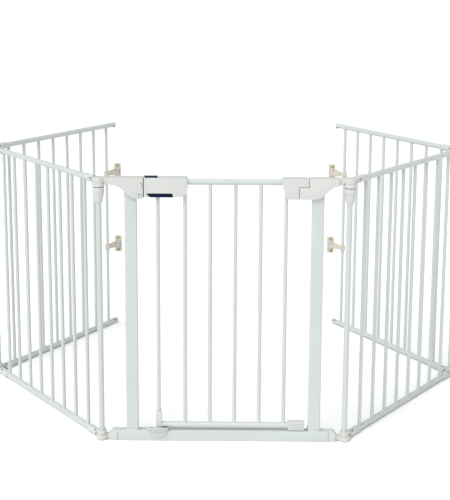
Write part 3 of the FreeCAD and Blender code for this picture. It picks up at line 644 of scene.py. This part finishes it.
def arm_dimples(level, side):
    """Two core holes in each face of a wall mount's arm, their dark painted shade."""
    bar = Vector(JOINTS[f"{level}_{side}_clip_turn"]["pos_m"])
    pivot = Vector(JOINTS[f"{level}_{side}_plate_turn"]["pos_m"])
    way = (pivot - bar).normalized()
    low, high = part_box(f"{level}_{side}_mount_plate")
    middle = (low.z + high.z) / 2
    half_thickness, radius = 4.5, 2.0 * MM
    places = ((21, 1.0), (34, 2.5))   # mm from the bar, and above the plate's middle
    for face, normal in (("front", facing_front(way)), ("back", -facing_front(way))):
        for i, (along, rise) in enumerate(places):
            spot = bar + way * along * MM + normal * half_thickness * MM
            spot.z = middle + rise * MM
            name = f"{level}_{side}_arm_hole_{face}_{i}"
            dimple(name, f"{level}_{side}_mount_arm", spot, normal, radius)


def wall_screws(level, side):
    """Two wood screws on a wall plate: domed head, shank, thread and point; the head's cross-shaped hole is
    painted shade, dark strips on the head.
    """
    node = f"{level}_{side}_mount_screws"
    plate = f"{level}_{side}_mount_plate"
    low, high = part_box(node)
    middle = (low + high) / 2
    wall = (high.y - low.y) / MM - SCREW_REACH
    turns, pitch = 10, 2
    head = [(0.05, 0.0), (1.2, 0.0), (2.2, 0.1), (3.2, 0.4), (3.8, 0.9), (4.0, 1.5), (3.95, 2.2)]
    profile = head + [(2.3, 2.2), (2.3, wall)]
    for turn in range(turns):
        crest = wall + pitch * turn
        profile += [(1.5, crest + 0.4), (1.5, crest + 0.8), (2.0, crest + 1.4)]
    profile += [(1.6, wall + 20.5), (0.02, wall + SCREW_REACH)]
    arm, half_slot, slot_depth = 1.9, 0.42, 0.5 * MM
    bm = bmesh.new()
    for name, z in (("high", middle.z + SCREW_HALF_SPACING), ("low", middle.z - SCREW_HALF_SPACING)):
        rings = [[Vector((middle.x + r * MM * math.cos(a), low.y + y * MM,
                          z + r * MM * math.sin(a)))
                  for a in (2 * math.pi * k / 32 for k in range(32))] for r, y in profile]
        ring_loft(bm, rings)
        # the cross in each head: dark strips, painted shade
        for direction, half_x, half_z in (("flat", arm, half_slot), ("tall", half_slot, arm)):
            dark_strip(f"{level}_{side}_screw_{name}_{direction}", plate,
                       (middle.x - half_x * MM, low.y, z - half_z * MM),
                       (middle.x + half_x * MM, low.y + slot_depth, z + half_z * MM))
    finish_piece(f"{node}_turned", bm, "brass", plate, (node,))


def striker_marks():
    """Painted shade: dark strips in the gaps behind the striker's lip, and in the flutes moulded in its front."""
    low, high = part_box("striker_plate")
    beam_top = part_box("threshold_beam")[1].z
    middle = (low.x + high.x) / 2
    for name, near, far in (("left", -21.5, -12.5), ("right", 12.5, 25.5)):
        dark_strip(f"striker_stop_{name}", "gate_frame",
                   (middle + near * MM, high.y - 0.1 * MM, beam_top),
                   (middle + far * MM, high.y + 2.4 * MM, high.z + 0.7 * MM))
    half = (high.x - low.x) / 2
    flutes, pitch, half_width = 14, 3.9, 0.35 * MM
    for i in range(flutes):
        x = (i - (flutes - 1) / 2) * pitch * MM
        depth = (high.z - low.z) * math.sqrt(1 - (x / half) ** 2)
        dark_strip(f"striker_flute_{i}", "gate_frame",
                   (middle + x - half_width, low.y - 0.12 * MM, high.z - 0.75 * depth),
                   (middle + x + half_width, low.y + 0.3 * MM, high.z - 1.6 * MM))


def hinge_sleeve_grooves():
    """Painted shade: dark lines in the level grooves between the ribs on the front of the bottom hinge's block."""
    low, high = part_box("door_hinge_sleeve")
    lowest, pitch, width = 4.5, 4.6, 0.45 * MM
    for i in range(4):
        z = low.z + (lowest + pitch * i) * MM
        dark_strip(f"hinge_sleeve_groove_{i}", "door", (low.x + 2.0 * MM, low.y - 0.1 * MM, z),
                   (high.x - 2.0 * MM, low.y + 0.3 * MM, z + width))


def coil_spring():
    """The lever's return spring: its top bears on the door's handle, its foot rides the lever."""
    low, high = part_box("lever_spring")
    middle = (low + high) / 2
    wire = 0.6 * MM
    radius = (high.x - low.x) / 2 - wire
    turns = 5.7
    steps = 150
    bm = bmesh.new()
    rings = []
    for i in range(steps + 1):
        angle = 2 * math.pi * turns * i / steps
        out = Vector((math.cos(angle), math.sin(angle), 0))
        centre = Vector((middle.x, middle.y, low.z + wire)) + out * radius
        centre.z += (high.z - low.z - 2 * wire) * i / steps
        rings.append([centre + out * wire * math.cos(a) + Vector((0, 0, wire * math.sin(a)))
                      for a in (2 * math.pi * k / 10 for k in range(10))])
    made = ring_loft(bm, rings)
    bm.faces.new(made[0])
    bm.faces.new(made[-1])
    spring = finish_piece("lever_return_spring", bm, "spring_steel", None, ("lever_spring",))
    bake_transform(spring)


def cap_seams():
    """Painted shade: a fine dark line in the seam where each beam cap butts against the beam."""
    low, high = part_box("threshold_beam")
    half_width, proud, inset = 0.35 * MM, 0.12 * MM, 1.5 * MM
    for side, x in (("left", low.x), ("right", high.x)):
        for face, y in (("front", low.y), ("back", high.y)):
            dark_strip(f"{side}_cap_seam_{face}", "gate_frame",
                       (x - half_width, y - proud, low.z + inset),
                       (x + half_width, y + proud, high.z - inset))


# ---------------------------------------------------------------- studio
def make_stage():
    """A wide pale floor under the gate."""
    half_side = 60.0
    bm = bmesh.new()
    bmesh.ops.create_grid(bm, x_segments=4, y_segments=4, size=half_side)
    mesh = bpy.data.meshes.new("floor")
    bm.to_mesh(mesh)
    bm.free()
    floor = bpy.data.objects.new("floor", mesh)
    bpy.context.scene.collection.objects.link(floor)
    material, tree, shader = new_material("pale_floor")
    pale = ramp(tree, noise(tree, 2.0), (0.94, 0.94, 0.94), (0.96, 0.96, 0.96))
    tree.links.new(pale, shader.inputs["Base Color"])
    shader.inputs["Roughness"].default_value = 0.9
    mesh.materials.append(material)


def area_light(name, place, target, size, power):
    light = bpy.data.lights.new(name, "AREA")
    light.shape = "DISK"
    light.size = size
    light.energy = power
    obj = bpy.data.objects.new(name, light)
    obj.location = place
    obj.rotation_euler = (Vector(target) - Vector(place)).to_track_quat("-Z", "Y").to_euler()
    bpy.context.scene.collection.objects.link(obj)


def show_white_backdrop(tree):
    """White behind the floor's edge, while the room's light stays softer."""
    path = tree.nodes.new("ShaderNodeLightPath")
    white = add_node(tree, "ShaderNodeBackground", Color=(1, 1, 1, 1), Strength=1.0)
    mix = tree.nodes.new("ShaderNodeMixShader")
    tree.links.new(path.outputs["Is Camera Ray"], mix.inputs["Fac"])
    tree.links.new(tree.nodes["Background"].outputs["Background"], mix.inputs[1])
    tree.links.new(white.outputs["Background"], mix.inputs[2])
    tree.links.new(mix.outputs["Shader"], tree.nodes["World Output"].inputs["Surface"])


def make_lights():
    """A bright room, a soft sun from the front left and above, and a weak fill from the right."""
    world = bpy.data.worlds.new("studio")
    world.use_nodes = True
    bpy.context.scene.world = world
    world.node_tree.nodes["Background"].inputs["Color"].default_value = (1, 1, 1, 1)
    world.node_tree.nodes["Background"].inputs["Strength"].default_value = 0.64
    show_white_backdrop(world.node_tree)
    sky = bpy.data.lights.new("softbox", "SUN")
    sky.angle = math.radians(50)
    sky.energy = 2.5
    obj = bpy.data.objects.new("softbox", sky)
    obj.rotation_euler = Vector((1.3, 1.9, -2.6)).to_track_quat("-Z", "Y").to_euler()
    bpy.context.scene.collection.objects.link(obj)
    area_light("fill", (3.4, -2.2, 2.2), (0, 0.4, 0.3), 2.0, 8)


def make_camera():
    """The photograph's viewpoint."""
    data = bpy.data.cameras.new("camera")
    data.lens = CAMERA_LENS
    data.sensor_width = 36
    data.shift_y = CAMERA_SHIFT
    camera = bpy.data.objects.new("camera", data)
    turn = (Matrix.Rotation(-CAMERA_YAW, 4, "Z") @ Matrix.Rotation(math.pi / 2 - CAMERA_TILT, 4, "X")
            @ Matrix.Rotation(CAMERA_ROLL, 4, "Z"))
    camera.matrix_world = Matrix.Translation(CAMERA_PLACE) @ turn
    bpy.context.scene.collection.objects.link(camera)
    bpy.context.scene.camera = camera


# ---------------------------------------------------------------- build
bpy.context.scene.view_settings.view_transform = "Standard"
paint_cad_nodes()
make_camera()
make_lights()
make_stage()

rounded_tube("threshold_beam_tube", "threshold_beam", 2.5 * MM, 0, "gate_frame")
rounded_tube("left_upright_tube", "left_upright", 3.0 * MM, 2, "gate_frame")
rounded_tube("right_upright_tube", "right_upright", 3.0 * MM, 2, "gate_frame")
EDGE_ROUNDING = {                       # mm
    "latch_housing": 2.2, "hinge_housing": 2.2, "door_hinge_cover": 1.6,
    "handle_front_shell": 1.8, "handle_back_shell": 1.8,
    "left_beam_cap": 1.2, "right_beam_cap": 1.2, "striker_plate": 1.0,
    "door_hinge_sleeve": 1.5, "door_foot": 1.5, "thumb_slide": 0.35,
    "squeeze_lever": 0.8, "latch_bolt": 0.5, "lower_hinge_bracket": 0.4,
}
for moulding, edge in EDGE_ROUNDING.items():
    softened(moulding, edge * MM)
for side in SIDES:
    for part in (f"front_{side}_gate_connectors", f"front_{side}_corner_connectors",
                 f"rear_{side}_corner_connectors"):
        softened(part, 1.0 * MM)
    for collar in (f"{side}_gate_collar", f"{side}_corner_collar"):
        locking_collar(collar, collar)
        collar_teeth(collar)
    foot_weld(side)
    free_end_buttons(side)
    for level in LEVELS:
        softened(f"{level}_{side}_mount_arm", 0.8 * MM)
        softened(f"{level}_{side}_mount_plate", 0.7 * MM)
        wall_screws(level, side)
        arm_dimples(level, side)
    for row in ("front", "rear"):
        panel_welds(row, side)
door_welds()
latch_gap()
hinge_gap()
striker_marks()
hinge_sleeve_grooves()
coil_spring()
cap_seams()
connector_buttons()
